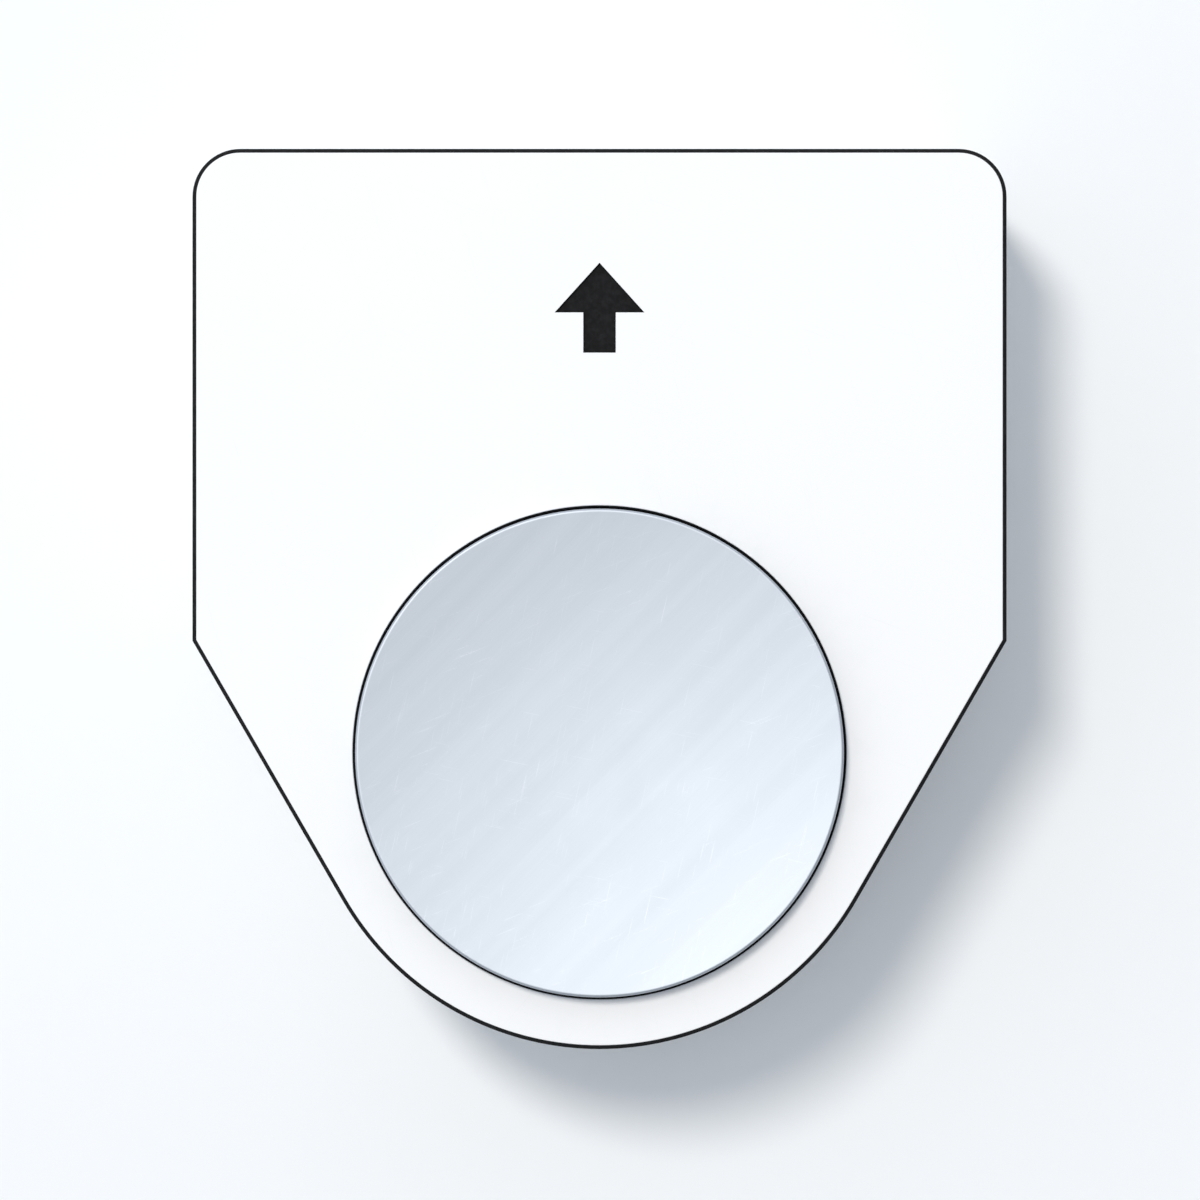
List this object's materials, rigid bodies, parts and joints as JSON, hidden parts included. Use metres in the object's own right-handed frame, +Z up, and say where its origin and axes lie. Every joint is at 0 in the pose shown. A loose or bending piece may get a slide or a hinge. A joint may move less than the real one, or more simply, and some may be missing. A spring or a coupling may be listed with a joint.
{
  "type": "pedestrian push button",
  "caption": "Wall-mounted crossing button: shield-shaped white face with an up arrow over a large round metal button, sprung, working a contact block.",
  "frame": {"origin": "on the wall plane, where the axis of the button meets it", "axes": "+Z up; +X to the right of a person facing the button; -Y out of the wall towards that person"},
  "size_m": [0.085, 0.0417, 0.094],
  "materials": {
    "laminate": "matt white skin on a black core",
    "adhesive": "matt",
    "white_paint": "white powder coat, fine orange peel",
    "black_rubber": "matt",
    "steel": "stainless, turned",
    "spring_steel": "stainless wire and strip",
    "brass": "bare",
    "bronze": "sintered bronze",
    "brushed_metal": "satin anodised, pale blue-grey",
    "cast_metal": "as cast",
    "block_plastic": "dark grey moulded",
    "plunger_plastic": "green moulded",
    "silver": "silver alloy"
  },
  "bodies": {
    "housing": {"legend_plate": "laminate", "adhesive_sheet": "adhesive", "front_housing": "white_paint", "housing_gasket": "black_rubber", "back_plate": "white_paint", "wall_gasket": "black_rubber", "cover_screws": "steel", "mounting_inserts": "brass", "cable_grommet": "black_rubber", "earth_washer": "brass", "earth_screw": "brass", "wiper_seal": "black_rubber", "stop_ring": "black_rubber", "carrier": "cast_metal", "guide_bush": "bronze", "carrier_screws": "steel", "spring_washers": "spring_steel", "return_spring": "spring_steel", "contact_base": "block_plastic", "contact_cover": "block_plastic", "fixed_contact_right": "brass", "fixed_contact_left": "brass", "fixed_tips": "silver", "plunger_spring": "spring_steel", "terminal_screws": "steel", "terminal_clamps": "steel", "block_screws": "steel"},
    "button": {"button_cap": "brushed_metal", "button_stem": "steel", "retaining_clip": "spring_steel", "thrust_washer": "steel", "guide_pin": "steel"},
    "plunger": {"plunger": "plunger_plastic", "contact_spring": "spring_steel"},
    "bridge": {"contact_bridge": "brass", "bridge_tips": "silver"}
  },
  "joints": [
    {"name": "button_slide", "type": "slide", "parent": "housing", "child": "button", "axis": [0, 1, 0], "range_m": [0, 0.003], "stiffness_N_per_m": 2500, "springref_m": -0.0024, "deforming": ["return_spring"]},
    {"name": "plunger_slide", "type": "slide", "parent": "housing", "child": "plunger", "axis": [0, 1, 0], "range_m": [0, 0.003], "deforming": ["plunger_spring"]},
    {"name": "bridge_slide", "type": "slide", "parent": "housing", "child": "bridge", "axis": [0, 1, 0], "range_m": [0, 0.0018], "deforming": ["contact_spring"]}
  ],
  "couplings": [
    {"joint": "plunger_slide", "follows": "button_slide", "ratio": 1},
    {"joint": "bridge_slide", "follows": "button_slide", "ratio": 0.6}
  ]
}
